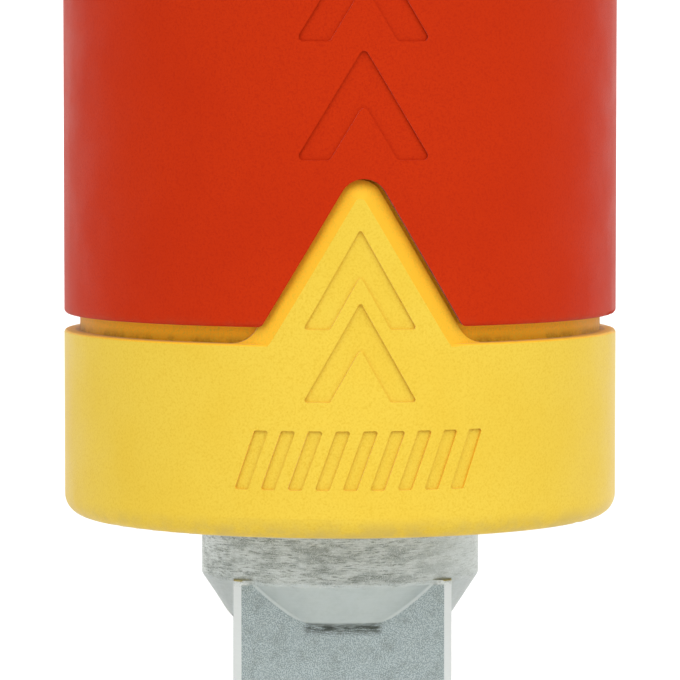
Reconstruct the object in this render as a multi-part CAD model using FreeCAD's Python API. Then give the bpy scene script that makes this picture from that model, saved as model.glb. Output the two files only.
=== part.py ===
"""Insulated square-drive screwdriver: a two-colour moulded handle on a steel shank with a 3/8 inch square.

Frame: millimetres, +Z along the shank towards the handle, origin on the axis at the shoulder of the drive
square, where a socket stops. The front of the tool, with the ball and the first tongue, faces -Y.
Each function below makes one piece, and main() writes one STEP file per piece.
"""

import FreeCAD
import Part

import math
import os

V = FreeCAD.Vector
ORIGIN = V(0, 0, 0)
UP = V(0, 0, 1)

# Drive square
square_flats = 9.525  # across flats, 3/8 inch
corner_cut = 0.2352  # each corner of the square is rounded off by this much along its diagonal
square_length = 10.8  # shoulder to tip
tip_radius = 4.1  # the tip's flat end
tip_chamfer = 1.5  # height of the tip's cone

# Shank
collar_step = 0.33  # the square's corners stand out this far from the collar
shoulder_length = 1.88  # cone from the flats out to the collar
shoulder_ledge = 0.28  # the cone's small end stands out this far from each flat
shoulder_ledge_length = 0.30  # the ledge's slope back to the flat
shoulder_fillet = 0.20  # where the cone meets the flats
corner_rise = 0.12  # the square's corners end this far up the collar
corner_fade = 0.05  # broken edge at the corners' ends
collar_round = 0.3
collar_show = 2.67  # bare collar between the cone and the insulation
collar_depth = 9.0  # collar inside the insulation
tang_flats = 9.0  # hexagonal tang across flats
tang_length = 92.0  # above the collar
tang_groove_depth = 0.7
tang_groove_width = 3.0
tang_groove_pitch = 24.0
tang_groove_count = 3
tang_end_chamfer = 1.0

# Spring-loaded ball in the square
ball_diameter = 3.969  # 5/32 inch
ball_stand = 1.0  # how far the ball stands out of the flat
ball_from_tip = 5.5
ball_clearance = 0.05
lip_thickness = 0.15  # staked rim that keeps the ball in
lip_clearance = 0.01
ball_hole_depth = 7.6
spring_wire = 0.45
spring_outside = 3.3
spring_turns = 4

# Core: front ring, tongues and neck
ring_diameter = 24.5
ring_height = 8.2
ring_bottom_round = 0.9
ring_top_round = 0.12
neck_step = 0.70  # radial thickness of the shell on the neck
tongue_half_angle = 30.5
tongue_height = 6.13  # face of the tongue above the ring
tongue_tip_round = 0.24
tongue_base_round = 1.2
tongue_slope = 0.77  # the flanks run out this far from the face, square to its edge
tongue_slope_depth = 0.40  # how deep the flanks are where they end beside the shell
seam_gap = 0.72  # groove between ring and shell
core_turn = 2.5  # degrees that the core's marks stand turned from the drive flats
core_end_inset = 16.0  # core stops this far below the butt
core_wall = 2.9  # shell thickness over the core in the grip

# Marks sunk into the core and the shell
mark_depth = 0.11
mark_round = 0.10
core_chevron_half_angle = 29.6
core_chevron_half_width = 2.40
core_chevron_leg = 1.13
core_chevron_base = 5.8  # lower chevron's feet above the ring's bottom
core_chevron_pitch = 3.05
core_chevron_count = 2
bar_count = 9
bar_height = 2.5
bar_width = 0.62
bar_pitch = 1.16
bar_lean = 0.9
bar_base = 2.1  # bars' lower edge above the ring's bottom

# Shell
shell_bottom_round = 0.20
notch_gap = 0.81  # between tongue face and notch, square to the edge
notch_corner_round = 0.28
shell_turn = 3.2  # degrees that the shell stands turned from the drive flats
shell_chevron_half_angle = 31.1
shell_chevron_half_width = 2.86
shell_chevron_leg = 1.44
shell_chevron_base = 7.0  # first chevron's feet above the shell's lower edge
shell_chevron_pitch = 4.95
shell_chevron_count = 4
shell_mark_round = 0.20

# Handle outline
neck_length = 28.5  # shell's lower edge to where the handle starts to widen
guard_rise = 9.0  # neck's end to the guard's crest
guard_diameter = 34.6
waist_drop = 11.5  # guard's crest to the waist
waist_diameter = 27.6
palm_rise = 38.0  # waist to the widest part of the grip
palm_diameter = 35.6
butt_rise = 44.0  # widest part to the butt's end
butt_diameter = 20.0  # flat end of the butt
butt_shoulder_diameter = 31.6
butt_shoulder_drop = 9.0  # shoulder of the butt below its end
butt_shoulder_lean = 0.16  # how much the outline narrows per millimetre at the shoulder

# Soft pieces
pad_count = 6
pad_start = 5.5  # lower end above the waist
pad_length = 58.0
pad_low_width = 6.4
pad_high_width = 9.6
pad_depth = 1.7
pad_stand = 0.45
finger_ring_width = 7.0
finger_ring_depth = 1.5
finger_ring_stand = 0.15

# Butt cap and hanging hole
cap_diameter = 15.0
cap_thickness = 2.2
cap_dome = 0.8
cap_stem_diameter = 7.0
cap_stem_length = 3.0
cap_mark_size = 4.6
cap_mark_width = 0.8
hang_hole_diameter = 6.0
hang_hole_drop = 12.0  # hole's axis below the butt's end
hang_hole_round = 0.8

# Places along the axis, worked out from the sizes above
tip_z = -square_length
collar_z = shoulder_length
corner_top_z = collar_z + corner_rise
ring_z = collar_z + collar_show
ring_top_z = ring_z + ring_height
shell_z = ring_top_z + seam_gap
neck_z = shell_z + neck_length
guard_z = neck_z + guard_rise
waist_z = guard_z + waist_drop
palm_z = waist_z + palm_rise
butt_z = palm_z + butt_rise
core_end_z = butt_z - core_end_inset
collar_end_z = ring_z + collar_depth
tang_end_z = collar_end_z + tang_length
hang_hole_z = butt_z - hang_hole_drop
ball_z = tip_z + ball_from_tip

# Radii worked out from the sizes above
ring_radius = ring_diameter / 2
neck_radius = ring_radius - neck_step
half_flats = square_flats / 2
corner_radius = half_flats * math.sqrt(2) - corner_cut
collar_radius = corner_radius - collar_step
ball_radius = ball_diameter / 2
ball_y = -(half_flats + ball_stand - ball_radius)
cutter_reach = 2 * guard_diameter


def revolve(points):
    """A solid turned about Z from a closed outline of (radius, z) points."""
    wire = Part.makePolygon([V(r, 0, z) for r, z in points + points[:1]])
    return Part.Face(wire).revolve(ORIGIN, UP, 360)


def turned(edges):
    """A solid turned about Z from a closed chain of edges in the XZ plane."""
    return Part.Face(Part.Wire(edges)).revolve(ORIGIN, UP, 360)


def cylinder(radius, low, high):
    """A cylinder about Z between two heights."""
    return Part.makeCylinder(radius, high - low, V(0, 0, low))


def spun(shape, angle):
    """The shape turned about Z."""
    copy = shape.copy()
    copy.rotate(ORIGIN, UP, angle)
    return copy


def both_sides(shape, angle):
    """The shape turned about Z, and its twin on the opposite side of the tool."""
    return [spun(shape, angle), spun(shape, angle + 180)]


def rounded_wire(corners, y):
    """A closed wire in the plane at y, from (x, z, radius) corners; a radius above 0 rounds that corner."""
    count = len(corners)
    starts = []
    ends = []
    middles = []
    for i in range(count):
        x, z, radius = corners[i]
        here = V(x, y, z)
        before = V(corners[i - 1][0], y, corners[i - 1][1])
        after = V(corners[(i + 1) % count][0], y, corners[(i + 1) % count][1])
        back = (before - here).normalize()
        ahead = (after - here).normalize()
        half = back.getAngle(ahead) / 2
        if radius <= 0:
            starts.append(here)
            ends.append(here)
            middles.append(None)
            continue
        run = radius / math.tan(half)
        inward = (back + ahead).normalize()
        centre = here + inward * (radius / math.sin(half))
        starts.append(here + back * run)
        ends.append(here + ahead * run)
        middles.append(centre - inward * radius)
    edges = []
    for i in range(count):
        if middles[i] is not None:
            edges.append(Part.Arc(starts[i], middles[i], ends[i]).toShape())
        following = starts[(i + 1) % count]
        edges.append(Part.LineSegment(ends[i], following).toShape())
    return Part.Wire(edges)


def prism(corners):
    """A cutter with the rounded outline, running from the axis out through the front of the tool."""
    wire = rounded_wire(corners, 0)
    return Part.Face(wire).extrude(V(0, -cutter_reach, 0))


def arrow_corners(base, half_angle, apex, tip_round, base_round, low):
    """Outline of an arrow pointing up from a level edge at base, with flared feet and a skirt down to low."""
    foot = (apex - base) * math.tan(math.radians(half_angle))
    edge = foot + base_round
    return [
        (-edge, low, 0),
        (-edge, base, 0),
        (-foot, base, base_round),
        (0, apex, tip_round),
        (foot, base, base_round),
        (edge, base, 0),
        (edge, low, 0),
    ]


def sharp_apex(rounded, tip_round, half_angle):
    """Height of the sharp apex whose rounding tops out at the given height."""
    return rounded + tip_round * (1 / math.sin(math.radians(half_angle)) - 1)


def chevron_corners(base, half_angle, half_width, leg, corner_round):
    """Outline of a chevron that points up, standing on two level feet."""
    slope = 1 / math.tan(math.radians(half_angle))
    outer = base + half_width * slope
    inner = base + (half_width - leg) * slope
    return [
        (half_width, base, corner_round),
        (0, outer, corner_round),
        (-half_width, base, corner_round),
        (-(half_width - leg), base, corner_round),
        (0, inner, corner_round),
        (half_width - leg, base, corner_round),
    ]


def sunk(cutters, radius):
    """Cutters kept to the skin outside a cylinder that lies mark_depth below the surface radius."""
    body = cylinder(radius - mark_depth, tip_z, butt_z)
    return [cutter.cut(body) for cutter in cutters]


def square_bar(low, high, flats):
    """A square bar along Z."""
    return Part.makeBox(flats, flats, high - low, V(-flats / 2, -flats / 2, low))


def ball_pocket():
    """The blind hole for the ball and its spring, with a narrower staked mouth."""
    out = V(0, 1, 0)
    back = V(0, lip_thickness - half_flats, ball_z)
    hole = Part.makeCylinder(ball_radius + ball_clearance, ball_hole_depth - lip_thickness, back, out)
    depth = half_flats + ball_y - lip_thickness
    lip_radius = math.sqrt(ball_radius**2 - depth**2) + lip_clearance
    mouth = Part.makeCylinder(lip_radius, half_flats, V(0, -2 * half_flats + lip_thickness, ball_z), out)
    return hole.fuse(mouth)


def drive_shank():
    """Steel bar: drive square, shoulder cone, round collar and a grooved hexagonal tang."""
    cone_foot = half_flats + shoulder_ledge
    shoulder = revolve(
        [
            (0, -shoulder_ledge_length / 2),
            (half_flats, -shoulder_ledge_length / 2),
            (cone_foot, shoulder_ledge_length / 2),
            (collar_radius, collar_z),
            (collar_radius, collar_end_z),
            (0, collar_end_z),
        ]
    )
    rim = [e for e in shoulder.Edges if is_circle_at(e, collar_radius, collar_z)]
    shoulder = shoulder.makeFillet(collar_round, rim)
    envelope = revolve(
        [
            (0, tip_z),
            (tip_radius, tip_z),
            (corner_radius, tip_z + tip_chamfer),
            (corner_radius, corner_top_z - corner_fade),
            (corner_radius - corner_fade, corner_top_z),
            (0, corner_top_z),
        ]
    )
    square = square_bar(tip_z, corner_top_z, square_flats).common(envelope)
    body = shoulder.fuse(square)
    meeting = [e for e in body.Edges if is_shoulder_edge(e)]
    body = body.makeFillet(shoulder_fillet, meeting)
    body = body.fuse(tang())
    return body.cut(ball_pocket()).removeSplitter()


def is_shoulder_edge(edge):
    """Whether the edge is one of the curves that rise from the ledge where a flat runs into the cone."""
    box = edge.BoundBox
    on_flat = box.XLength < 0.001 or box.YLength < 0.001
    from_ledge = abs(box.ZMin - shoulder_ledge_length / 2) < 0.001
    return on_flat and from_ledge and box.ZLength > 0.001


def is_circle_at(edge, radius, z):
    """Whether the edge is a circle about the axis with that radius and height."""
    curve = edge.Curve
    if not isinstance(curve, Part.Circle):
        return False
    return abs(curve.Radius - radius) < 0.001 and abs(curve.Center.z - z) < 0.001


def tang():
    """Hexagonal tang with ring grooves that the plastic grips."""
    reach = tang_flats / math.sqrt(3)
    turns = [math.radians(60 * i) for i in range(7)]
    points = [V(reach * math.cos(turn), reach * math.sin(turn), 0) for turn in turns]
    hexagon = Part.Face(Part.makePolygon(points)).extrude(V(0, 0, tang_end_z - collar_z))
    hexagon.translate(V(0, 0, collar_z))
    envelope = revolve(
        [
            (0, collar_z),
            (reach, collar_z),
            (reach, tang_end_z - tang_end_chamfer),
            (reach - tang_end_chamfer, tang_end_z),
            (0, tang_end_z),
        ]
    )
    bar = hexagon.common(envelope)
    for i in range(tang_groove_count):
        low = collar_end_z + (i + 1) * tang_groove_pitch - tang_groove_width / 2
        bar = bar.cut(groove(low))
    return bar


def groove(low):
    """Ring cutter for one tang groove."""
    floor = tang_flats / 2 - tang_groove_depth
    high = low + tang_groove_width
    return cylinder(tang_flats, low, high).cut(cylinder(floor, low, high))


def detent_ball():
    """Steel ball that clicks into a socket's dimple."""
    return Part.makeSphere(ball_radius, V(0, ball_y, ball_z))


def detent_spring():
    """Coil spring behind the ball, seated on the floor of its hole."""
    wire_radius = spring_wire / 2
    coil_radius = spring_outside / 2 - wire_radius
    reach = ball_radius + wire_radius
    ball_end = ball_y + math.sqrt(reach**2 - coil_radius**2) + ball_clearance
    floor = ball_hole_depth - half_flats - wire_radius
    height = floor - ball_end
    helix = Part.makeLongHelix(height / spring_turns, height, coil_radius)
    section = Part.Wire(Part.makeCircle(wire_radius, V(coil_radius, 0, 0), V(0, 1, 0)))
    coil = Part.Wire(helix).makePipeShell([section], True, True)
    coil.rotate(ORIGIN, V(1, 0, 0), -90)
    coil.translate(V(0, ball_end, ball_z))
    return coil


def core_radius_points():
    """(radius, z) points of the core's outside from the ring's top to the core's end."""
    grip_radius = waist_diameter / 2 - core_wall + finger_ring_depth / 2
    palm_radius = palm_diameter / 2 - core_wall - pad_depth
    return [
        (neck_radius, ring_top_z),
        (neck_radius, neck_z),
        (grip_radius, guard_z),
        (grip_radius, waist_z + finger_ring_width),
        (palm_radius, palm_z),
        (palm_radius, core_end_z),
    ]


def core_blank(low):
    """Solid body of revolution that the shell is moulded on, from the given height up."""
    outline = core_radius_points()
    return revolve([(0, low), (neck_radius, low)] + outline + [(0, core_end_z)])


def tongue_outline(outset, base_round, low):
    """Outline of the tongue's face moved outwards by outset, square to its edges."""
    apex = sharp_apex(ring_top_z + tongue_height, tongue_tip_round, tongue_half_angle)
    apex = apex + outset / math.sin(math.radians(tongue_half_angle))
    return arrow_corners(ring_top_z, tongue_half_angle, apex, tongue_tip_round + outset, base_round, low)


def tongue_blank():
    """One tongue with flanks that slope down from its face towards the neck."""
    low = ring_top_z - 2 * tongue_slope
    wide = prism(tongue_outline(tongue_slope, tongue_base_round, low))
    tongue = wide.common(cylinder(ring_radius, low, shell_z + cutter_reach))
    rim = [e for e in tongue.Edges if is_flank_edge(e)]
    return tongue.makeChamfer(tongue_slope, tongue_slope_depth, rim)


def is_flank_edge(edge):
    """Whether the edge is on the outside of a tongue and above the ring."""
    ends = [v.Point for v in edge.Vertexes]
    middle = edge.valueAt((edge.FirstParameter + edge.LastParameter) / 2)
    outside = all(abs(math.hypot(p.x, p.y) - ring_radius) < 0.001 for p in ends + [middle])
    above = all(p.z > ring_top_z - 0.001 for p in ends) and middle.z > ring_top_z + 0.001
    return outside and above


def ring_blank():
    """Front ring with a rounded lower edge and a lightly broken upper edge."""
    ring = cylinder(ring_radius, ring_z, ring_top_z)
    ring = ring.makeFillet(ring_bottom_round, [e for e in ring.Edges if is_circle_at(e, ring_radius, ring_z)])
    rim = [e for e in ring.Edges if is_circle_at(e, ring_radius, ring_top_z)]
    return ring.makeFillet(ring_top_round, rim)


def core_marks():
    """Chevrons that point up the tongue, and a row of slanted bars below them."""
    cutters = []
    for i in range(core_chevron_count):
        base = ring_z + core_chevron_base + i * core_chevron_pitch
        outline = chevron_corners(
            base, core_chevron_half_angle, core_chevron_half_width, core_chevron_leg, mark_round
        )
        cutters.append(prism(outline))
    for i in range(bar_count):
        middle = (i - (bar_count - 1) / 2) * bar_pitch / ring_radius
        cutters.append(spun(bar_cutter(), math.degrees(middle)))
    return cutters


def bar_cutter():
    """One slanted bar at the front of the ring."""
    low = ring_z + bar_base
    left = -bar_width / 2
    right = bar_width / 2
    lean = bar_lean / 2
    corners = [
        (left - lean, low, mark_round),
        (right - lean, low, mark_round),
        (right + lean, low + bar_height, mark_round),
        (left + lean, low + bar_height, mark_round),
    ]
    return prism(corners)


def insulating_core():
    """Yellow inner insulation: ring, neck, tongues and the body inside the handle, moulded on the shank."""
    core = ring_blank().fuse(core_blank(ring_top_z - 1))
    for tongue in both_sides(tongue_blank(), core_turn):
        core = core.fuse(tongue)
    marks = []
    for cutter in sunk(core_marks(), ring_radius):
        marks.extend(both_sides(cutter, core_turn))
    core = core.cut(Part.makeCompound(marks))
    shaft = cylinder(collar_radius, ring_z - 1, collar_end_z).fuse(tang())
    return core.cut(shaft).removeSplitter()


def handle_curves(offset):
    """Smooth outline of the handle from the neck's end to the flat of the butt, moved out by offset."""
    shoulder = V(butt_shoulder_lean, 0, -1).normalize()
    stations = [
        (ring_radius, neck_z, UP * guard_rise * 0.45, UP * guard_rise * 0.45),
        (guard_diameter / 2, guard_z, UP * -guard_rise * 0.40, UP * waist_drop * 0.30),
        (waist_diameter / 2, waist_z, UP * -waist_drop * 0.50, UP * palm_rise * 0.42),
        (palm_diameter / 2, palm_z, UP * -palm_rise * 0.45, UP * butt_rise * 0.35),
        (
            butt_shoulder_diameter / 2,
            butt_z - butt_shoulder_drop,
            shoulder * butt_rise * 0.25,
            shoulder * -5.5,
        ),
        (butt_diameter / 2, butt_z, V(4.5, 0, 0), ORIGIN),
    ]
    curves = []
    for i in range(len(stations) - 1):
        low_radius, low, _, leaving = stations[i]
        high_radius, high, arriving, _ = stations[i + 1]
        start = V(low_radius + offset, 0, low)
        finish = V(high_radius + offset, 0, high)
        curve = Part.BezierCurve()
        curve.setPoles([start, start + leaving, finish + arriving, finish])
        curves.append(curve)
    return curves


def handle_blank(offset):
    """Solid of revolution inside the handle's outline, from the neck's end up, moved out by offset.

    It is turned so that its seam runs between two grip pads, clear of the hanging hole.
    """
    curves = handle_curves(offset)
    low_edge = V(ring_radius + offset, 0, neck_z)
    high_edge = V(butt_diameter / 2 + offset, 0, butt_z)
    edges = [Part.LineSegment(V(0, 0, neck_z), low_edge).toShape()]
    edges.extend(curve.toShape() for curve in curves)
    edges.append(Part.LineSegment(high_edge, V(0, 0, butt_z)).toShape())
    edges.append(Part.LineSegment(V(0, 0, butt_z), V(0, 0, neck_z)).toShape())
    return spun(turned(edges), shell_turn - 180 / pad_count)


def pad_cutter(index):
    """Radial cutter with the outline of one grip pad: a long slot that widens towards the palm."""
    low = waist_z + pad_start
    high = low + pad_length
    corners = [
        (-pad_low_width / 2, low, pad_low_width * 0.42),
        (pad_low_width / 2, low, pad_low_width * 0.42),
        (pad_high_width / 2, high, pad_high_width * 0.42),
        (-pad_high_width / 2, high, pad_high_width * 0.42),
    ]
    return spun(prism(corners), shell_turn + (index + 0.5) * 360 / pad_count)


def grip_pad(index):
    """One soft pad that fills its window in the shell and stands a little proud."""
    skin = handle_blank(pad_stand).cut(handle_blank(-pad_depth))
    return skin.common(pad_cutter(index))


def finger_band(low_offset, high_offset):
    """Band round the waist between two offsets of the outline."""
    half = finger_ring_width / 2
    slab = cylinder(guard_diameter, waist_z - half, waist_z + half)
    return handle_blank(high_offset).cut(handle_blank(low_offset)).common(slab)


def finger_ring():
    """Soft ring in the waist, where the fingers spin the tool."""
    return finger_band(-finger_ring_depth, finger_ring_stand)


def cap_body():
    """Disc and stem of the butt cap, as they sit in the butt."""
    stem = cylinder(cap_stem_diameter / 2, butt_z - cap_thickness - cap_stem_length, butt_z)
    return cylinder(cap_diameter / 2, butt_z - cap_thickness, butt_z).fuse(stem)


def end_cap():
    """Round cap in the butt, with a sunk square that shows the kind of drive."""
    rim = cap_diameter / 2
    sag = (rim**2 + cap_dome**2) / (2 * cap_dome)
    dome = Part.makeSphere(sag, V(0, 0, butt_z + cap_dome - sag))
    dome = dome.common(cylinder(rim, butt_z - 0.01, butt_z + cap_dome))
    body = cap_body().fuse(dome)
    outside = square_bar(butt_z + cap_dome - 0.5, butt_z + 3, cap_mark_size)
    inside = square_bar(butt_z, butt_z + 4, cap_mark_size - 2 * cap_mark_width)
    return body.cut(outside.cut(inside)).removeSplitter()


def drilled_handle():
    """Handle outline with the cross hole for a hook or a tether, its mouths rounded."""
    radius = hang_hole_diameter / 2
    reach = guard_diameter
    hole = Part.makeCylinder(radius, 2 * reach, V(-reach, 0, hang_hole_z), V(1, 0, 0))
    blank = handle_blank(0).cut(hole)
    walls = [f for f in blank.Faces if isinstance(f.Surface, Part.Cylinder) and abs(f.Surface.Axis.x) > 0.9]
    mouths = [e for wall in walls for e in wall.Edges if not e.isSeam(wall)]
    return blank.makeFillet(hang_hole_round, mouths)


def notch_cutter():
    """Arrow-shaped notch that leaves an even gap round the tongue."""
    apex = sharp_apex(ring_top_z + tongue_height, tongue_tip_round, tongue_half_angle)
    apex = apex + notch_gap / math.sin(math.radians(tongue_half_angle))
    corners = arrow_corners(
        shell_z, tongue_half_angle, apex, tongue_tip_round + notch_gap, notch_corner_round, shell_z - 2
    )
    return prism(corners)


def shell_marks():
    """Row of chevrons up the neck."""
    cutters = []
    for i in range(shell_chevron_count):
        base = shell_z + shell_chevron_base + i * shell_chevron_pitch
        outline = chevron_corners(
            base, shell_chevron_half_angle, shell_chevron_half_width, shell_chevron_leg, shell_mark_round
        )
        cutters.append(prism(outline))
    return cutters


def outer_shell():
    """Red outer insulation: neck sleeve with notches and chevrons, guard, grip and butt in one moulding."""
    sleeve = cylinder(ring_radius, shell_z, neck_z + 0.01)
    rim = [e for e in sleeve.Edges if is_circle_at(e, ring_radius, shell_z)]
    sleeve = sleeve.makeFillet(shell_bottom_round, rim)
    shell = sleeve.fuse(drilled_handle())
    shell = shell.cut(core_blank(shell_z - 5))
    for notch in both_sides(notch_cutter(), shell_turn):
        shell = shell.cut(notch)
    marks = []
    for cutter in sunk(shell_marks(), ring_radius):
        marks.extend(both_sides(cutter, shell_turn))
    shell = shell.cut(Part.makeCompound(marks))
    inner_handle = handle_blank(-pad_depth)
    for i in range(pad_count):
        shell = shell.cut(pad_cutter(i).cut(inner_handle))
    shell = shell.cut(finger_band(-finger_ring_depth, 1))
    return shell.cut(cap_body()).removeSplitter()


def save(name, shape):
    """Writes one piece, after checking that it is made of valid closed solids."""
    if not shape.isValid():
        raise ValueError(name + " is not a valid shape")
    solids = shape.Solids
    shape = solids[0] if len(solids) == 1 else Part.makeCompound(solids)
    shape.exportStep(os.path.join("parts", name + ".step"))
    print(name, len(solids), "solid", round(shape.Volume, 2), "mm3", shape.BoundBox)


def main():
    """Builds every piece and writes it."""
    os.makedirs("parts", exist_ok=True)
    save("drive_shank", drive_shank())
    save("detent_ball", detent_ball())
    save("detent_spring", detent_spring())
    save("insulating_core", insulating_core())
    save("outer_shell", outer_shell())
    save("finger_ring", finger_ring())
    save("end_cap", end_cap())
    for i in range(pad_count):
        save("grip_pad_%d" % (i + 1), grip_pad(i))


main()
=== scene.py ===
"""Insulated square-drive screwdriver: finishes, soft grips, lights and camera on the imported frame."""

import logging
import math
from collections.abc import Callable, Iterable
from dataclasses import dataclass, replace
from enum import Enum

import bmesh
import bpy
from mathutils import Euler, Matrix, Vector


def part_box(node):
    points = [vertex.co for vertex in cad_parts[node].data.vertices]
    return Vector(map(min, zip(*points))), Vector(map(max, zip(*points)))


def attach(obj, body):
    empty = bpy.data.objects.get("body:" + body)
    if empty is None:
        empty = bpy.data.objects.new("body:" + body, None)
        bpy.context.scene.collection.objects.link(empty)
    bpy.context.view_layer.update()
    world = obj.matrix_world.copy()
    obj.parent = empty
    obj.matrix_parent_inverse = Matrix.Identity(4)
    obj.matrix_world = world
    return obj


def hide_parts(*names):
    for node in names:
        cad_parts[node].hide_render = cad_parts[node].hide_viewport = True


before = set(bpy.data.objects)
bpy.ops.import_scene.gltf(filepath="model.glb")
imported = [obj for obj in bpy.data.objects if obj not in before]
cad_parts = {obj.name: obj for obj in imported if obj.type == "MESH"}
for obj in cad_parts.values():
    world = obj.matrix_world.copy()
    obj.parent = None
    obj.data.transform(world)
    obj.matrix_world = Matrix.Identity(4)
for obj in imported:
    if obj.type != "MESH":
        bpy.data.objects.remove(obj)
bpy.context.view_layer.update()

MM = 0.001
Colour = tuple[float, float, float]
Range = tuple[float, float]
Socket = bpy.types.NodeSocket
Value = Socket | float | Colour

WHOLE: Range = (0.0, 1.0)
MOST_OF_A_NOISE: Range = (0.3, 0.7)

# Sockets of a Mix node that mixes colours: their names are not unique, so they go by number.
MIX_FACTOR = 0
MIX_UNDER = 6
MIX_OVER = 7
MIX_RESULT = 2

log = logging.getLogger("screwdriver")


class Step(Enum):
    """Steps of arithmetic in a finish."""

    ADD = "ADD"
    SUBTRACT = "SUBTRACT"
    MULTIPLY = "MULTIPLY"
    MAXIMUM = "MAXIMUM"
    SIZE = "ABSOLUTE"
    ROOT = "SQRT"


class Slot(Enum):
    """Material slots of the record; the new pieces are handed one but do not use it."""

    SOFT_GRIP = "soft_grip"


def span(low: float, high: float) -> Range:
    """A range of radii or heights in millimetres, turned into metres."""
    return low * MM, high * MM


# ---------------------------------------------------------------- node trees


class Graph:
    """Builds one material, a node at a time, on Object coordinates."""

    def __init__(self, name: str) -> None:
        """Starts a material with a bare shader.

        Args:
            name: the material's name.
        """
        self.material = bpy.data.materials.new(name)
        self.material.use_nodes = True
        self.tree = self.material.node_tree
        self.shader = self.tree.nodes["Principled BSDF"]
        self.place = self.node("ShaderNodeTexCoord").outputs["Object"]

    def node(self, kind: str) -> bpy.types.Node:
        """Returns a new node of the given kind."""
        return self.tree.nodes.new(kind)

    def join(self, value: Value, socket: Socket) -> None:
        """Feeds a socket.

        Args:
            value: an output socket to link, or a plain number or colour.
            socket: the input that takes it.
        """
        if isinstance(value, Socket):
            self.tree.links.new(value, socket)
        elif isinstance(value, tuple):
            socket.default_value = (*value, 1.0)
        else:
            socket.default_value = value

    def setting(self, name: str, value: float) -> None:
        """Sets one of the shader's plain numbers."""
        self.shader.inputs[name].default_value = value

    def stretched(self, scale: tuple[float, float, float]) -> Socket:
        """Object coordinates stretched along the axes.

        Args:
            scale: factor along each axis; a larger one makes the pattern finer that way.

        Returns:
            The stretched coordinates.
        """
        node = self.node("ShaderNodeMapping")
        self.join(self.place, node.inputs["Vector"])
        node.inputs["Scale"].default_value = scale
        return node.outputs["Vector"]

    def noise(
        self, size: float, detail: float = 2.0, roughness: float = 0.5, place: Socket | None = None
    ) -> Socket:
        """Soft random pattern from 0 to 1.

        Args:
            size: width of one blotch in millimetres.
            detail: octaves of finer pattern.
            roughness: strength of each finer octave.
            place: coordinates, if not the piece's own.

        Returns:
            The pattern's value.
        """
        node = self.node("ShaderNodeTexNoise")
        self.join(place or self.place, node.inputs["Vector"])
        node.inputs["Scale"].default_value = 1.0 / (size * MM)
        node.inputs["Detail"].default_value = detail
        node.inputs["Roughness"].default_value = roughness
        return node.outputs["Fac"]

    def spread(self, value: Socket, shows: Range, start: float = 0.0, end: float = 1.0) -> Socket:
        """Stretches a band of a value over another range, clamped and eased.

        Args:
            value: the value to read.
            shows: where the band begins and ends.
            start: result where it begins.
            end: result where it ends.

        Returns:
            The new value.
        """
        node = self.node("ShaderNodeMapRange")
        node.interpolation_type = "SMOOTHSTEP"
        self.join(value, node.inputs["Value"])
        for socket, number in zip(("From Min", "From Max", "To Min", "To Max"), (*shows, start, end)):
            node.inputs[socket].default_value = number
        return node.outputs["Result"]

    def uneven(self, pattern: Socket, middle: float, down: float, up: float) -> Socket:
        """A roughness that follows a pattern.

        Args:
            pattern: the pattern, from 0 to 1.
            middle: the surface's usual roughness.
            down: how far the roughness falls below it.
            up: how far it rises above it.

        Returns:
            The roughness.
        """
        return self.spread(pattern, MOST_OF_A_NOISE, middle - down, middle + up)

    def step(self, step: Step, first: Value, second: Value = 0.0) -> Socket:
        """One step of arithmetic.

        Args:
            step: what is done.
            first: left value.
            second: right value.

        Returns:
            The result.
        """
        node = self.node("ShaderNodeMath")
        node.operation = step.value
        self.join(first, node.inputs[0])
        self.join(second, node.inputs[1])
        return node.outputs["Value"]

    def product(self, *values: Value) -> Socket:
        """Several values multiplied together."""
        result = values[0]
        for value in values[1:]:
            result = self.step(Step.MULTIPLY, result, value)
        return result

    def axes(self) -> tuple[Socket, ...]:
        """The piece's own X, Y and Z, in metres."""
        node = self.node("ShaderNodeSeparateXYZ")
        self.join(self.place, node.inputs["Vector"])
        return tuple(node.outputs)

    def reach(self) -> Socket:
        """Distance from the tool's axis, in metres."""
        x, y, _ = self.axes()
        return self.step(Step.ROOT, self.step(Step.ADD, self.product(x, x), self.product(y, y)))

    def lean(self) -> Socket:
        """How far the surface turns away from straight outwards: 0 on a round wall, 1 on a side wall."""
        geometry = self.node("ShaderNodeNewGeometry")
        flat = self.node("ShaderNodeVectorMath")
        flat.operation = "MULTIPLY"
        self.join(self.place, flat.inputs[0])
        flat.inputs[1].default_value = (1.0, 1.0, 0.0)
        outwards = self.node("ShaderNodeVectorMath")
        outwards.operation = "NORMALIZE"
        self.join(flat.outputs["Vector"], outwards.inputs[0])
        facing = self.node("ShaderNodeVectorMath")
        facing.operation = "DOT_PRODUCT"
        self.join(geometry.outputs["Normal"], facing.inputs[0])
        self.join(outwards.outputs["Vector"], facing.inputs[1])
        return self.step(Step.SUBTRACT, 1.0, facing.outputs["Value"])

    def facing(self) -> tuple[Socket, ...]:
        """How squarely the surface faces along X, Y and Z, each from 0 to 1."""
        geometry = self.node("ShaderNodeNewGeometry")
        split = self.node("ShaderNodeSeparateXYZ")
        self.join(geometry.outputs["Normal"], split.inputs["Vector"])
        return tuple(self.step(Step.SIZE, side) for side in split.outputs)

    def band(self, height: Socket, middle: float, reach: float) -> Socket:
        """A soft band round the tool.

        Args:
            height: the Z coordinate.
            middle: the band's height in millimetres.
            reach: half its width in millimetres.

        Returns:
            1 in the middle of the band, 0 outside it.
        """
        away = self.step(Step.SIZE, self.step(Step.SUBTRACT, height, middle * MM))
        return self.spread(away, span(0.0, reach), start=1.0, end=0.0)

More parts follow.
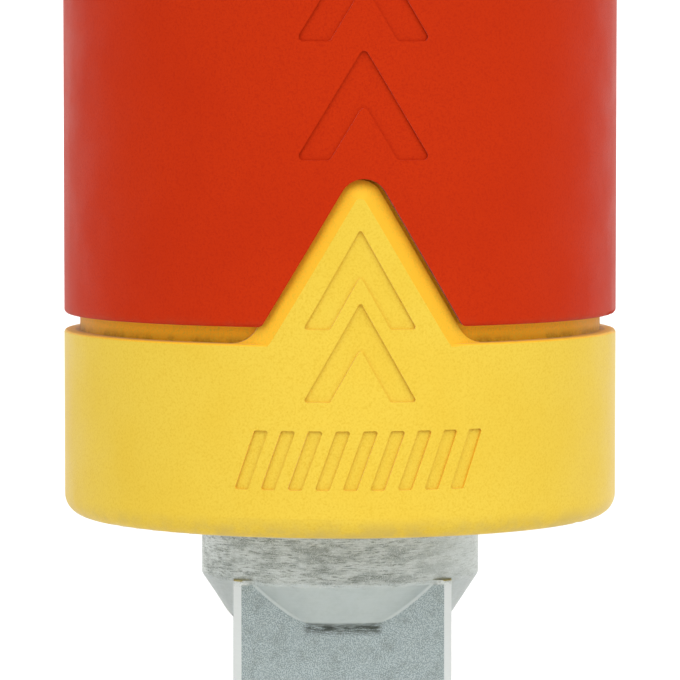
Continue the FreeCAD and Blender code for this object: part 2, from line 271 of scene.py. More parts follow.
    def blend(self, factor: Value, under: Value, over: Value) -> Socket:
        """Lays one colour over another.

        Args:
            factor: how much of the upper colour shows.
            under: lower colour.
            over: upper colour.

        Returns:
            The blended colour.
        """
        node = self.node("ShaderNodeMix")
        node.data_type = "RGBA"
        self.join(factor, node.inputs[MIX_FACTOR])
        self.join(under, node.inputs[MIX_UNDER])
        self.join(over, node.inputs[MIX_OVER])
        return node.outputs[MIX_RESULT]

    def layered(self, base: Value, layers: Iterable[tuple[Value, Colour]]) -> Value:
        """Lays several colours over one another, each with its own mask.

        Args:
            base: the lowest colour.
            layers: mask and colour of each layer, from below upwards.

        Returns:
            The colour.
        """
        for mask, colour in layers:
            base = self.blend(mask, base, colour)
        return base

    def relief(self, height: Socket, depth: float, below: Socket | None = None) -> Socket:
        """Turns a value into surface relief.

        Args:
            height: the value, 0 low and 1 high.
            depth: how deep a step from 1 to 0 is, in millimetres.
            below: coarser relief that this one lies on.

        Returns:
            The bent normal.
        """
        node = self.node("ShaderNodeBump")
        node.inputs["Strength"].default_value = 1.0
        node.inputs["Distance"].default_value = depth * MM
        self.join(height, node.inputs["Height"])
        if below is not None:
            self.join(below, node.inputs["Normal"])
        return node.outputs["Normal"]

    def finish(self, colour: Value, roughness: Value, normal: Socket) -> bpy.types.Material:
        """Feeds the shader and returns the material.

        Args:
            colour: base colour.
            roughness: surface roughness.
            normal: surface relief.

        Returns:
            The finished material.
        """
        self.join(colour, self.shader.inputs["Base Color"])
        self.join(roughness, self.shader.inputs["Roughness"])
        self.join(normal, self.shader.inputs["Normal"])
        return self.material


# ------------------------------------------------------------------- finishes
# Pattern sizes and depths are in millimetres. A pattern's "shows" says where in it a colour starts to show
# and where it is full.


@dataclass(frozen=True)
class RubbedBand:
    """A height, in millimetres, at which handling has rubbed or soiled the surface."""

    height: float
    reach: float
    colour: Colour
    strength: float


@dataclass(frozen=True)
class HollowPaintedLight:
    """Painted light in the core's hollows: red bounce light from the shell painted as a deeper orange on the
    deep places and sloped flanks, and grime with painted shade in the groove under the shell. Radii and
    heights in millimetres.

    Attributes:
        colour: painted red bounce light on the deep places, a deeper orange.
        flank_bounce_light: painted red bounce light on the sloped sides, orange.
        skin: radius at which the deep colour starts.
        floor: radius at which it is full.
        above: height above which the deep places have their colour.
        marks_from: height above which the sloped sides have theirs.
        groove: height of the groove, darkened with grime and painted shade.
        groove_reach: half the width of the darkened band.
        shade_and_dirt: colour of the grime and painted shade in it.
    """

    colour: Colour
    flank_bounce_light: Colour
    skin: float
    floor: float
    above: float
    marks_from: float
    groove: float
    groove_reach: float
    shade_and_dirt: Colour
    above_fade: float = 0.5
    marks_fade: float = 0.3
    flank_leans: Range = (0.04, 0.09)
    flank_strength: float = 0.9
    least_shade_and_dirt: float = 0.45
    most_shade_and_dirt: float = 0.9

    def tint(self, graph: Graph, colour: Socket, patches: Socket) -> Socket:
        """Paints red bounce light and shade into the hollows, with grime in the groove.

        Args:
            graph: the material's nodes.
            colour: colour of the skin.
            patches: uneven pattern that breaks up the groove's grime and painted shade.

        Returns:
            The colour with light and shade painted into its hollows.
        """
        height = graph.axes()[2]
        upper = graph.spread(height, span(self.above - self.above_fade, self.above))
        marked = graph.spread(height, span(self.marks_from - self.marks_fade, self.marks_from))
        sloped = graph.product(graph.spread(graph.lean(), self.flank_leans), marked)
        deep = graph.product(graph.spread(graph.reach(), span(self.skin, self.floor)), upper)
        # Grime and painted shade in the groove under the shell.
        soiled = graph.product(deep, graph.band(height, self.groove, self.groove_reach))
        shade_and_dirt_mask = graph.spread(patches, WHOLE, self.least_shade_and_dirt, self.most_shade_and_dirt)
        # Painted light: red bounce light on the flanks and deep places, then grime with painted shade in the
        # groove.
        layers = (
            (graph.product(sloped, self.flank_strength), self.flank_bounce_light),
            (deep, self.colour),
            (graph.product(soiled, shade_and_dirt_mask), self.shade_and_dirt),
        )
        return graph.layered(colour, layers)


@dataclass(frozen=True)
class MouldedPlastic:
    """Matt insulating plastic with a spark-eroded grain, faint clouds, flecks and rubbed rims."""

    name: str
    colour: Colour
    cloud: Colour
    fleck: Colour
    grain: float = 0.09
    grain_depth: float = 0.011
    cloud_size: float = 4.5
    patch_size: float = 1.3
    wear_size: float = 2.2
    wave_size: float = 6.0
    wave_depth: float = 0.05
    fleck_strength: float = 0.75
    gloss: float = 0.06
    sheen: float = 0.12
    sheen_roughness: float = 0.30
    roughness: float = 0.56
    bands: tuple[RubbedBand, ...] = ()
    hollow_painted_light: HollowPaintedLight | None = None

    def material(self) -> bpy.types.Material:
        """Builds the plastic's material."""
        graph = Graph(self.name)
        height = graph.axes()[2]
        grain = graph.noise(self.grain, detail=3.0, roughness=0.65)
        clouds = graph.spread(graph.noise(self.cloud_size, detail=4.0), shows=(0.40, 0.70))
        patches = graph.spread(graph.noise(self.patch_size, detail=5.0, roughness=0.7), shows=(0.40, 0.62))
        colour = graph.blend(clouds, self.colour, self.cloud)
        # Painted red bounce light and shade in the core's hollows, where given.
        if self.hollow_painted_light is not None:
            colour = self.hollow_painted_light.tint(graph, colour, patches)
        flecks = graph.spread(grain, shows=(0.42, 0.72), end=self.fleck_strength)
        colour = graph.blend(flecks, colour, self.fleck)
        for band in self.bands:
            mask = graph.band(height, band.height, band.reach)
            colour = graph.blend(graph.product(mask, patches, band.strength), colour, band.colour)
        wear = graph.noise(self.wear_size, detail=4.0, roughness=0.6)
        roughness = graph.uneven(wear, self.roughness, down=0.06, up=0.07)
        normal = graph.relief(graph.noise(self.wave_size, detail=1.0), self.wave_depth)
        normal = graph.relief(grain, self.grain_depth, normal)
        graph.setting("Specular IOR Level", self.gloss)
        graph.setting("Sheen Weight", self.sheen)
        graph.setting("Sheen Roughness", self.sheen_roughness)
        return graph.finish(colour, roughness, normal)


@dataclass(frozen=True)
class SoftRubber:
    """Over-moulded elastomer: a softer, duller version of the insulation, slightly dusty in patches."""

    name: str
    colour: Colour
    dust: Colour
    grain: float = 0.20
    grain_depth: float = 0.016
    dust_size: float = 3.5
    wear_size: float = 1.8
    gloss: float = 0.3
    sheen: float = 0.12
    roughness: float = 0.74

    def material(self) -> bpy.types.Material:
        """Builds the elastomer's material."""
        graph = Graph(self.name)
        grain = graph.noise(self.grain, detail=3.0, roughness=0.6)
        dusty = graph.noise(self.dust_size, detail=4.0)
        layers = (
            (graph.spread(dusty, shows=(0.45, 0.70), end=0.55), self.dust),
            (graph.spread(grain, shows=(0.35, 0.75), end=0.25), self.dust),
        )
        wear = graph.noise(self.wear_size, detail=3.0)
        roughness = graph.uneven(wear, self.roughness, down=0.07, up=0.08)
        graph.setting("Specular IOR Level", self.gloss)
        graph.setting("Sheen Weight", self.sheen)
        normal = graph.relief(grain, self.grain_depth)
        return graph.finish(graph.layered(self.colour, layers), roughness, normal)


@dataclass(frozen=True)
class PlatedSteel:
    """Satin zinc plating: grainy on the drive flats, smooth on the cone, smudged by handling on the collar,
    with a painted highlight strip on each corner of the square; the collar's smudges thin out towards +X,
    which paints its right side lighter.

    Attributes:
        cone: colour of the shoulder cone, and of what has no other tone.
        corner: colour of the painted highlight strips on each corner of the square, and of the light specks
            on the collar.
        flat: colour of the drive flats.
        flat_speck: colour of the specks on them.
        collar: colour of the collar.
        smudge: colour of finger marks.
        flats_top: height at which the flats' tone ends.
        collar_start: height at which the collar's tone starts.
        corner_start: radius at which the painted highlight strips start.
        foot_reach: radius of the ledge darkened with grime and painted shade.
        foot_middle: height of that ledge.
        foot_half: half the height of its darkening.
    """

    name: str
    cone: Colour
    corner: Colour
    flat: Colour
    flat_speck: Colour
    collar: Colour
    smudge: Colour
    flats_top: float
    collar_start: float
    corner_start: float
    foot_reach: float
    foot_middle: float = -0.10
    foot_half: float = 0.42
    flats_fade: float = 0.10
    collar_below: float = 0.12
    collar_full: float = 0.20
    corner_fade: float = 0.1
    foot_fade: float = 0.12
    lit_side_smudging: float = 0.35
    squarely: Range = (0.985, 0.998)
    lit_side_fade: Range = (1.5, 5.0)
    fray_size: float = 0.10
    fray: float = 0.16
    grain: float = 0.045
    grain_depth: float = 0.006
    wave_size: float = 0.9
    wave_depth: float = 0.010
    patch_size: float = 0.8
    smear_size: float = 1.3
    streak_size: float = 0.55
    smear_stretch: float = 3.5
    streak_stretch: float = 9.0
    shade_and_dirt_darkness: float = 0.45
    metallic: float = 0.85
    roughness: float = 0.38

    def on_flats(self, graph: Graph) -> Socket:
        """Mask of the four drive flats."""
        sideways, forwards, _ = graph.facing()
        square = graph.spread(graph.step(Step.MAXIMUM, sideways, forwards), self.squarely)
        end = span(self.flats_top - self.flats_fade, self.flats_top)
        return graph.product(square, graph.spread(graph.axes()[2], end, start=1.0, end=0.0))

    def on_collar(self, graph: Graph) -> Socket:
        """Mask of the collar, with a frayed lower edge."""
        pattern = graph.noise(self.fray_size, detail=3.0, roughness=0.7)
        frayed = graph.spread(pattern, MOST_OF_A_NOISE, -self.fray * MM, self.fray * MM)
        height = graph.step(Step.ADD, graph.axes()[2], frayed)
        edge = span(self.collar_start - self.collar_below, self.collar_start + self.collar_full)
        return graph.spread(height, edge)

    def at_foot(self, graph: Graph) -> Socket:
        """Mask of the narrow ledge at the cone's foot, darkened with grime and painted shade."""
        ledge = span(self.foot_reach - self.foot_fade, self.foot_reach)
        near = graph.spread(graph.reach(), ledge, start=1.0, end=0.0)
        return graph.product(graph.band(graph.axes()[2], self.foot_middle, self.foot_half), near)

    def tone(self, graph: Graph, grain: Socket, streaks: Socket) -> Socket:
        """Colour of the plating.

        Args:
            graph: the material's nodes.
            grain: fine pattern.
            streaks: marks that run round the tool.

        Returns:
            The colour.
        """
        collar = self.on_collar(graph)
        flats = self.on_flats(graph)
        # Painted highlight: a brighter colour on each corner of the square.
        corner_highlights = graph.spread(graph.reach(), span(self.corner_start - self.corner_fade, self.corner_start))
        patches = graph.noise(self.patch_size, detail=4.0, roughness=0.7)
        flattened = graph.stretched((1.0, 1.0, self.smear_stretch))
        smears = graph.noise(self.smear_size, detail=5.0, roughness=0.7, place=flattened)
        # Painted light: smudges thin out towards +X, where the key lamp stands, so the collar's right side is
        # painted lighter.
        side = graph.spread(graph.axes()[0], span(*self.lit_side_fade), start=1.0, end=self.lit_side_smudging)
        smudges_thinned_on_lit_side = graph.product(collar, side)
        # Grime and painted shade on the ledge at the cone's foot.
        shade_and_dirt_mask = graph.product(self.at_foot(graph), graph.spread(streaks, shows=(0.38, 0.56), start=0.25))
        shade_and_dirt = tuple(self.shade_and_dirt_darkness * part for part in self.smudge)
        layers = (
            (graph.spread(patches, shows=(0.40, 0.70), end=0.10), self.smudge),
            (corner_highlights, self.corner),
            (collar, self.collar),
            (graph.product(smudges_thinned_on_lit_side, graph.spread(smears, shows=(0.40, 0.62), end=0.60)), self.smudge),
            (graph.product(smudges_thinned_on_lit_side, graph.spread(streaks, shows=(0.50, 0.62), end=0.80)), self.smudge),
            (graph.product(collar, graph.spread(grain, shows=(0.50, 0.72), end=0.70)), self.corner),
            (flats, self.flat),
            (graph.product(flats, graph.spread(grain, shows=(0.40, 0.64))), self.flat_speck),
            (graph.product(flats, graph.spread(patches, shows=(0.46, 0.70), end=0.30)), self.smudge),
            (shade_and_dirt_mask, shade_and_dirt),
        )
        return graph.layered(self.cone, layers)

    def material(self) -> bpy.types.Material:
        """Builds the plating's material."""
        graph = Graph(self.name)
        grain = graph.noise(self.grain, detail=2.0, roughness=0.6)
        flattened = graph.stretched((1.0, 1.0, self.streak_stretch))
        streaks = graph.noise(self.streak_size, detail=5.0, roughness=0.75, place=flattened)
        roughness = graph.uneven(streaks, self.roughness, down=0.05, up=0.12)
        grainy = graph.step(Step.MAXIMUM, self.on_flats(graph), self.on_collar(graph))
        rough = graph.spread(grainy, WHOLE, start=0.15)
        normal = graph.relief(graph.noise(self.wave_size, detail=3.0), self.wave_depth)
        normal = graph.relief(graph.product(grain, rough), self.grain_depth, normal)
        graph.setting("Metallic", self.metallic)
        return graph.finish(self.tone(graph, grain, streaks), roughness, normal)


@dataclass(frozen=True)
class BareSteel:
    """Hard polished or drawn steel with fine scratches."""

    name: str
    colour: Colour
    scratch: Colour
    roughness: float
    scratch_size: float = 0.25
    scratch_depth: float = 0.004
    scratch_stretch: float = 6.0

    def material(self) -> bpy.types.Material:
        """Builds the steel's material."""
        graph = Graph(self.name)
        flattened = graph.stretched((1.0, self.scratch_stretch, 1.0))
        scratches = graph.noise(self.scratch_size, detail=4.0, roughness=0.7, place=flattened)
        colour = graph.blend(graph.spread(scratches, shows=(0.50, 0.72), end=0.6), self.colour, self.scratch)
        roughness = graph.uneven(scratches, self.roughness, down=0.0, up=0.12)
        graph.setting("Metallic", 1.0)
        return graph.finish(colour, roughness, graph.relief(scratches, self.scratch_depth))


@dataclass(frozen=True)
class PaleFloor:
    """White sweep with a barely visible tooth, painted grey towards the front: painted shade that stands in
    for the dark surroundings in front of the tool, seen in the metal's reflections.
    """

    name: str = "white_sweep"
    white: Colour = (0.95, 0.95, 0.95)
    grey: Colour = (0.50, 0.50, 0.50)
    painted_front_shade: Range = (-600.0, -30.0)
    tooth_size: float = 3.0
    tooth_depth: float = 0.02
    roughness: float = 0.9

    def material(self) -> bpy.types.Material:
        """Builds the sweep's material."""
        graph = Graph(self.name)
        tooth = graph.noise(self.tooth_size, detail=3.0)
        layers = (
            # Painted shade: the sweep turns grey towards the front.
            (graph.spread(graph.axes()[1], span(*self.painted_front_shade), start=1.0, end=0.0), self.grey),
            (graph.spread(tooth, shows=(0.4, 0.6), end=0.04), self.grey),
        )
        graph.setting("Specular IOR Level", 0.0)
        normal = graph.relief(tooth, self.tooth_depth)
        return graph.finish(graph.layered(self.white, layers), self.roughness, normal)


# --------------------------------------------------------------- shape helpers


class Piece:
    """One new piece, shaped in a bmesh and then set riding on a body."""

    def __init__(self, name: str) -> None:
        """Starts an empty shape.

        Args:
            name: the object's name.
        """
        self.name = name
        self.mesh = bmesh.new()

    def move(self, place: Callable[[Vector], Vector]) -> None:
        """Moves every vertex.

        Args:
            place: function that takes a vertex's place and returns its new one.
        """
        for vertex in self.mesh.verts:
            vertex.co = place(vertex.co)

    def sink(self, faces: list[bmesh.types.BMFace], slope: float, depth: float) -> None:
        """Sinks some faces into the surface.

        Args:
            faces: the faces.
            slope: how far the sunk floor stays inside their outline, in millimetres.
            depth: depth in millimetres.
        """
        bmesh.ops.inset_region(
            self.mesh, faces=faces, thickness=slope * MM, depth=-depth * MM, use_even_offset=True
        )

    def thicken(self, wall: float) -> None:
        """Gives an open sheet a wall on its inner side.

        Args:
            wall: thickness in millimetres.
        """
        bmesh.ops.recalc_face_normals(self.mesh, faces=self.mesh.faces)
        bmesh.ops.solidify(self.mesh, geom=self.mesh.faces[:], thickness=wall * MM)

    def done(self, body: str, material: bpy.types.Material, levels: int, slot: Slot) -> bpy.types.Object:
        """Turns the shape into an object with a finish.

        Args:
            body: name of the body it rides on.
            material: its finish.
            levels: subdivision levels.
            slot: not used.

        Returns:
            The object.
        """
        data = bpy.data.meshes.new(self.name)
        self.mesh.to_mesh(data)
        self.mesh.free()
        data.shade_smooth()
        data.materials.append(material)
        piece = bpy.data.objects.new(self.name, data)
        bpy.context.scene.collection.objects.link(piece)
        smoothing = piece.modifiers.new("smoothing", "SUBSURF")
        smoothing.levels = levels
        smoothing.render_levels = levels
        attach(piece, body)
        log.info("%s: %d faces before subdivision", self.name, len(data.polygons))
        return piece


def report(node: str, finish: str) -> None:
    """Logs a CAD piece that has got its finish."""
    low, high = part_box(node)
    size = [round(side / MM, 1) for side in high - low]
    log.info("%s: %s mm, finish %s", node, size, finish)


def dress(node: str, material: bpy.types.Material) -> None:
    """Gives a CAD piece its finish.

    Args:
        node: the piece's name.
        material: its finish.
    """
    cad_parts[node].material_slots[0].material = material
    report(node, material.name)


# --------------------------------------------------------------- sub-assemblies


@dataclass
class Drive:
    """Steel shank with the drive square, and the sprung ball in it. Sizes in millimetres."""

    cone_top: float = 1.88
    flats_top: float = 1.85
    corner_start: float = 6.35
    foot_reach: float = 5.10

    def build(self) -> None:
        """Dresses the shank, the ball and its spring."""
        plating = PlatedSteel(
            "satin_plated_steel",
            cone=(0.43, 0.48, 0.475),
            # Painted highlight on each corner of the square; also the collar's light specks.
            corner=(0.66, 0.70, 0.69),
            flat=(0.25, 0.305, 0.305),
            flat_speck=(0.49, 0.57, 0.58),
            collar=(0.50, 0.545, 0.525),
            smudge=(0.14, 0.165, 0.140),
            flats_top=self.flats_top,
            collar_start=self.cone_top,
            corner_start=self.corner_start,
            foot_reach=self.foot_reach,
        )
        ball = BareSteel("polished_ball_steel", (0.74, 0.75, 0.76), (0.55, 0.56, 0.57), 0.10)
        wire = BareSteel("drawn_spring_wire", (0.52, 0.53, 0.55), (0.30, 0.30, 0.31), 0.30, scratch_size=0.12)
        dress("drive_shank", plating.material())
        dress("detent_ball", ball.material())
        dress("detent_spring", wire.material())


@dataclass
class Insulation:
    """The two rigid mouldings, core and shell, and the cap in the butt. Sizes in millimetres."""

    ring_radius: float = 12.25
    ring_bottom: float = 4.55
    ring_top: float = 12.75
    mark_depths: Range = (0.42, 0.56)
    marks_above_ring: float = 1.7
    ring_body: float = 2.0
    shell_bottom: float = 13.47
    butt: float = 144.47
    butt_edge: float = 4.0

    def yellow(self) -> MouldedPlastic:
        """The core's plastic, soiled at its lower rim, with painted red bounce light in its hollows and grime
        with painted shade on the step under the shell.
        """
        shallow, deep = self.mark_depths
        return MouldedPlastic(
            "yellow_insulation",
            colour=(0.672, 0.478, 0.050),
            cloud=(0.662, 0.458, 0.042),
            fleck=(0.60, 0.385, 0.024),
            gloss=0.12,
            sheen=0.25,
            bands=(RubbedBand(self.ring_bottom, 1.1, (0.52, 0.38, 0.09), 0.65),),
            # Painted light: red bounce from the shell in the hollows and on the flanks, grime with painted
            # shade in the groove.
            hollow_painted_light=HollowPaintedLight(
                colour=(0.86, 0.400, 0.010),
                flank_bounce_light=(0.78, 0.390, 0.016),
                skin=self.ring_radius - shallow,
                floor=self.ring_radius - deep,
                above=self.ring_top - self.ring_body,
                marks_from=self.ring_bottom + self.marks_above_ring,
                groove=self.ring_top,
                groove_reach=0.45,
                shade_and_dirt=(0.36, 0.17, 0.006),
            ),
        )

    def red(self) -> MouldedPlastic:
        """The shell's plastic, rubbed a little paler at its lower rim and on the butt."""
        return MouldedPlastic(
            "red_insulation",
            colour=(0.450, 0.0235, 0.0006),
            cloud=(0.435, 0.0215, 0.0006),
            fleck=(0.375, 0.0150, 0.0005),
            bands=(
                RubbedBand(self.shell_bottom, 0.5, (0.36, 0.04, 0.012), 0.5),
                RubbedBand(self.butt - self.butt_edge, 5.0, (0.38, 0.04, 0.012), 0.4),
            ),
        )

    def build(self) -> None:
        """Dresses the core, the shell and the cap."""
        yellow = self.yellow()
        dress("insulating_core", yellow.material())
        dress("end_cap", replace(yellow, name="yellow_cap", bands=(), hollow_painted_light=None).material())
        dress("outer_shell", self.red().material())


@dataclass
class Outline:
    """The handle's outside as a chain of Bezier curves in radius and height. Sizes in millimetres."""

    stations: tuple[tuple[Vector, Vector, Vector, Vector], ...] = (
        (Vector((17.3, 50.97)), Vector((17.3, 54.42)), Vector((13.8, 56.72)), Vector((13.8, 62.47))),
        (Vector((13.8, 62.47)), Vector((13.8, 78.43)), Vector((17.8, 83.37)), Vector((17.8, 100.47))),
        (Vector((17.8, 100.47)), Vector((17.8, 115.87)), Vector((17.5375, 124.608)), Vector((15.8, 135.47))),
    )
    halvings: int = 24

    def radius(self, height: float) -> float:
        """Radius of the handle at a height.

        Args:
            height: Z in millimetres, from the guard's crest to the butt's shoulder.

        Returns:
            The radius in millimetres.
        """
        for curve in self.stations:
            if height <= curve[3].y:
                low, high = 0.0, 1.0
                for _ in range(self.halvings):
                    middle = (low + high) / 2
                    if self.point(curve, middle).y < height:
                        low = middle
                    else:
                        high = middle
                return self.point(curve, low).x
        return self.stations[-1][3].x

    def point(self, curve: tuple[Vector, ...], t: float) -> Vector:
        """A point on one Bezier curve, at t from 0 to 1."""
        s = 1.0 - t
        return curve[0] * s**3 + curve[1] * 3 * s * s * t + curve[2] * 3 * s * t * t + curve[3] * t**3

    def place(self, across: float, height: float, lift: float) -> Vector:
        """A point on the front of the handle.

        Args:
            across: distance along the surface from the front, in millimetres.
            height: Z in millimetres.
            lift: how far the point stands out from the outline.

        Returns:
            The point in metres.
        """
        radius = self.radius(height)
        angle = across / radius
        reach = radius + lift
        return Vector((reach * math.sin(angle), -reach * math.cos(angle), height)) * MM


@dataclass
class GripPads:
    """Six ribbed soft pads let into the grip. Sizes in millimetres."""

    outline: Outline
    count: int = 6
    turn: float = 3.2
    low: float = 68.05
    high: float = 125.89
    low_width: float = 6.25
    high_width: float = 9.45
    corner: float = 0.42
    lift: float = 0.40
    sunk_rim: float = 0.25
    wall: float = 1.3
    columns: int = 12
    rows: int = 84
    rib_every: int = 3
    plain_rows: int = 7
    plain_columns: float = 3.9
    groove_depth: float = 0.42
    groove_slope: float = 0.10
    arrow: float = 1.5
    arrow_sharpness: int = 6
    rim_sharpness: int = 10
    crowding: float = 0.35

    def half_width(self, height: float) -> float:
        """Half the pad's width at a height, narrowed where its ends are rounded."""
        share = (height - self.low) / (self.high - self.low)
        half = (self.low_width + (self.high_width - self.low_width) * share) / 2
        for end in (height - self.low, self.high - height):
            radius = half * 2 * self.corner
            if end < radius:
                return half - radius + math.sqrt(max(radius**2 - (radius - end) ** 2, 0.0))
        return half

    def spot(self, grid: Vector) -> Vector:
        """Wraps a point of the flat grid onto the handle.

        Args:
            grid: X and Y from -1 to 1, across and along the pad.

        Returns:
            The point in metres.
        """
        even = (grid.y + 1) / 2
        crowded = (1 - math.cos(math.pi * even)) / 2
        along = crowded * self.crowding + even * (1 - self.crowding)
        height = self.low + (self.high - self.low) * along
        half = self.half_width(height)
        middle = max(0.0, 1 - abs(2 * along - 1) ** self.arrow_sharpness)
        rim = max(abs(grid.x), abs(grid.y)) ** self.rim_sharpness
        lift = self.lift - rim * (self.lift + self.sunk_rim)
        slanted = height + self.arrow * (0.5 - abs(grid.x)) * middle
        return self.outline.place(grid.x * half, slanted, lift)

    def grooved(self, face: bmesh.types.BMFace) -> bool:
        """Whether a face of the flat grid belongs to a groove between two ribs."""
        middle = face.calc_center_median()
        row = int((middle.y + 1) / 2 * self.rows)
        inside_rows = self.plain_rows < row < self.rows - self.plain_rows
        inside_columns = abs(middle.x) < 1 - self.plain_columns / self.columns
        return row % self.rib_every == 1 and inside_rows and inside_columns

    def pad(self, index: int, rubber: bpy.types.Material) -> None:
        """Builds one pad in place of its CAD solid.

        Args:
            index: place of the pad round the grip, from 0.
            rubber: its finish.
        """
        piece = Piece(f"ribbed_pad_{index + 1}")
        bmesh.ops.create_grid(piece.mesh, x_segments=self.columns, y_segments=self.rows, size=1.0)
        grooves = [face for face in piece.mesh.faces if self.grooved(face)]
        piece.move(self.spot)
        bmesh.ops.recalc_face_normals(piece.mesh, faces=piece.mesh.faces)
        piece.sink(grooves, self.groove_slope, self.groove_depth)
        piece.thicken(self.wall)
        angle = math.radians(self.turn + (index + 0.5) * 360 / self.count)
        bmesh.ops.rotate(piece.mesh, verts=piece.mesh.verts, matrix=Matrix.Rotation(angle, 3, "Z"))
        made = piece.done("handle", rubber, 1, Slot.SOFT_GRIP)
        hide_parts(f"grip_pad_{index + 1}")

    def build(self, rubber: bpy.types.Material) -> None:
        """Builds every pad."""
        for index in range(self.count):
            self.pad(index, rubber)


@dataclass
class FingerRing:
    """Soft knurled ring in the waist. Sizes in millimetres."""

    outline: Outline
    low: float = 59.05
    high: float = 65.89
    lift: float = 0.12
    wall: float = 1.2
    steps: int = 144
    rows: int = 8
    rib_every: int = 3
    groove_depth: float = 0.40
    groove_slope: float = 0.08
    plain_rim: float = 0.2
    sunk_rim: float = 0.2
    rim_sharpness: int = 8

    def section(self, mesh: bmesh.types.BMesh) -> list[bmesh.types.BMEdge]:
        """Draws the ring's outer line at the front.

        Args:
            mesh: the mesh to draw in.

        Returns:
            The line's edges.
        """
        spots = []
        for row in range(self.rows + 1):
            share = row / self.rows
            height = self.low + (self.high - self.low) * share
            rim = abs(2 * share - 1) ** self.rim_sharpness
            lift = self.lift - rim * (self.lift + self.sunk_rim)
            spots.append(mesh.verts.new(self.outline.place(0.0, height, lift)))
        return [mesh.edges.new(pair) for pair in zip(spots, spots[1:])]

    def grooved(self, face: bmesh.types.BMFace) -> bool:
        """Whether a face of the ring belongs to a groove of the knurl."""
        middle = face.calc_center_median()
        share = (middle.z / MM - self.low) / (self.high - self.low)
        turn = math.atan2(middle.y, middle.x) / math.tau % 1.0
        inside = self.plain_rim < share < 1 - self.plain_rim
        return int(turn * self.steps) % self.rib_every == 0 and inside

    def build(self, rubber: bpy.types.Material) -> None:
        """Builds the ring in place of its CAD solid."""
        piece = Piece("knurled_finger_ring")
        edges = self.section(piece.mesh)
        geometry = edges + piece.mesh.verts[:]
        bmesh.ops.spin(
            piece.mesh,
            geom=geometry,
            cent=(0, 0, 0),
            axis=(0, 0, 1),
            angle=math.tau,
            steps=self.steps,
            use_merge=True,
        )
        bmesh.ops.recalc_face_normals(piece.mesh, faces=piece.mesh.faces)
        self.face_outwards(piece.mesh)
        grooves = [face for face in piece.mesh.faces if self.grooved(face)]
        piece.sink(grooves, self.groove_slope, self.groove_depth)
        bmesh.ops.solidify(piece.mesh, geom=piece.mesh.faces[:], thickness=self.wall * MM)
        made = piece.done("handle", rubber, 1, Slot.SOFT_GRIP)
        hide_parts("finger_ring")

    def face_outwards(self, mesh: bmesh.types.BMesh) -> None:
        """Turns the ring's faces to point away from the axis."""
        mesh.faces.ensure_lookup_table()
        face = mesh.faces[0]
        middle = face.calc_center_median()
        if face.normal.x * middle.x + face.normal.y * middle.y < 0:
            bmesh.ops.reverse_faces(mesh, faces=mesh.faces[:])


# ----------------------------------------------------------------------- studio


@dataclass
class Lamp:
    """A very wide, soft sun. Angles in degrees, azimuth measured from the front towards +X."""

    name: str
    azimuth: float
    elevation: float
    spread: float
    strength: float

    def build(self) -> None:
        """Puts the lamp in the scene."""
        light = bpy.data.lights.new(self.name, "SUN")
        light.energy = self.strength
        light.angle = math.radians(self.spread)
        lamp = bpy.data.objects.new(self.name, light)
        lamp.rotation_euler = Euler((math.radians(90 - self.elevation), 0.0, math.radians(self.azimuth)))
        bpy.context.scene.collection.objects.link(lamp)


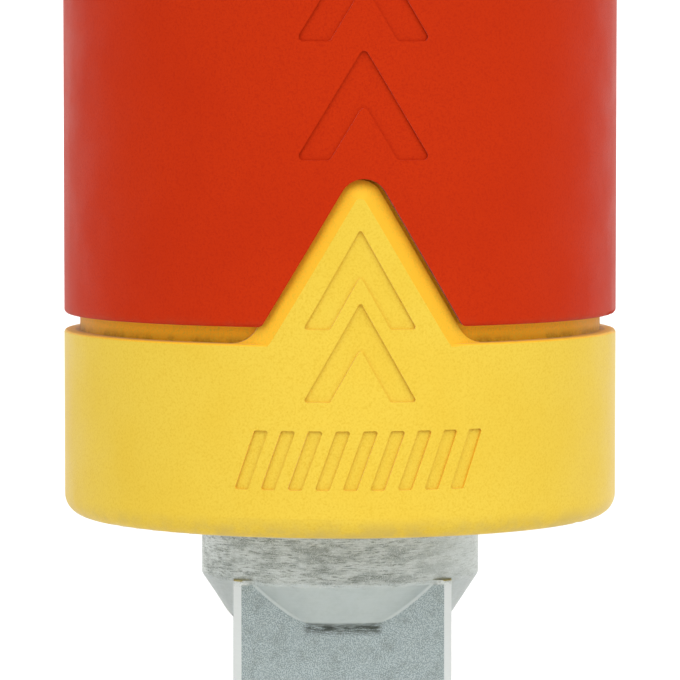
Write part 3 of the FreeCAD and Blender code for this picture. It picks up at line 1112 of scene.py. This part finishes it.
@dataclass
class Studio:
    """White sweep, soft light and the camera. Sizes in millimetres."""

    floor: float = -10.8
    half_side: float = 2400.0
    flat_depth: float = 1100.0
    sweep_radius: float = 900.0
    arc_steps: int = 24
    weld: float = 0.01
    wall_height: float = 1300.0
    camera_azimuth: float = -1.5
    camera_distance: float = 195.6
    camera_height: float = 24.65
    target_height: float = 12.2
    lens: float = 233.0
    sky: float = 0.40

    def sweep(self) -> None:
        """Builds the floor that curves up into a wall behind the tool."""
        mesh = bmesh.new()
        start = mesh.verts.new(Vector((-self.half_side, -self.half_side, self.floor)) * MM)
        bend = mesh.verts.new(Vector((-self.half_side, self.flat_depth, self.floor)) * MM)
        mesh.edges.new((start, bend))
        centre = Vector((0, self.flat_depth, self.floor + self.sweep_radius)) * MM
        arc = bmesh.ops.spin(
            mesh, geom=[bend], cent=centre, axis=(1, 0, 0), angle=math.pi / 2, steps=self.arc_steps
        )
        top = [item for item in arc["geom_last"] if isinstance(item, bmesh.types.BMVert)]
        wall = bmesh.ops.extrude_vert_indiv(mesh, verts=top)
        bmesh.ops.translate(mesh, verts=wall["verts"], vec=(0, 0, self.wall_height * MM))
        across = bmesh.ops.extrude_edge_only(mesh, edges=mesh.edges[:])
        side = [item for item in across["geom"] if isinstance(item, bmesh.types.BMVert)]
        bmesh.ops.translate(mesh, verts=side, vec=(2 * self.half_side * MM, 0, 0))
        bmesh.ops.remove_doubles(mesh, verts=mesh.verts, dist=self.weld * MM)
        bmesh.ops.recalc_face_normals(mesh, faces=mesh.faces)
        log.info("sweep: %d faces", len(mesh.faces))
        data = bpy.data.meshes.new("sweep")
        mesh.to_mesh(data)
        mesh.free()
        data.shade_smooth()
        data.materials.append(PaleFloor().material())
        sweep = bpy.data.objects.new("sweep", data)
        bpy.context.scene.collection.objects.link(sweep)

    def light(self) -> None:
        """Sets the sky and the lamps."""
        world = bpy.data.worlds.new("studio")
        world.use_nodes = True
        sky = world.node_tree.nodes["Background"]
        sky.inputs["Color"].default_value = (1.0, 1.0, 1.0, 1.0)
        sky.inputs["Strength"].default_value = self.sky
        bpy.context.scene.world = world
        Lamp("key", azimuth=39.0, elevation=47.0, spread=60.0, strength=2.20).build()
        Lamp("fill", azimuth=-41.0, elevation=42.0, spread=60.0, strength=1.48).build()

    def camera(self) -> None:
        """Sets the camera in front of the tool's business end."""
        data = bpy.data.cameras.new("front")
        data.lens = self.lens
        data.sensor_width = 36.0
        data.clip_start = 0.01
        camera = bpy.data.objects.new("front", data)
        turn = math.radians(self.camera_azimuth)
        flat = Vector((math.sin(turn), -math.cos(turn), 0.0)) * self.camera_distance
        place = (flat + Vector((0, 0, self.camera_height))) * MM
        target = Vector((0, 0, self.target_height)) * MM
        camera.location = place
        camera.rotation_euler = (target - place).to_track_quat("-Z", "Y").to_euler()
        bpy.context.scene.collection.objects.link(camera)
        bpy.context.scene.camera = camera

    def build(self) -> None:
        """Builds the sweep, the light and the camera."""
        bpy.context.scene.view_settings.view_transform = "Standard"
        self.sweep()
        self.light()
        self.camera()


def main() -> None:
    """Dresses the frame, builds the soft pieces and sets the studio."""
    logging.basicConfig(level=logging.INFO, format="%(message)s")
    Drive().build()
    Insulation().build()
    rubber = SoftRubber("yellow_soft_grip", (0.64, 0.44, 0.042), (0.55, 0.38, 0.075)).material()
    outline = Outline()
    FingerRing(outline).build(rubber)
    GripPads(outline).build(rubber)
    Studio().build()


if __name__ == "__main__":
    main()
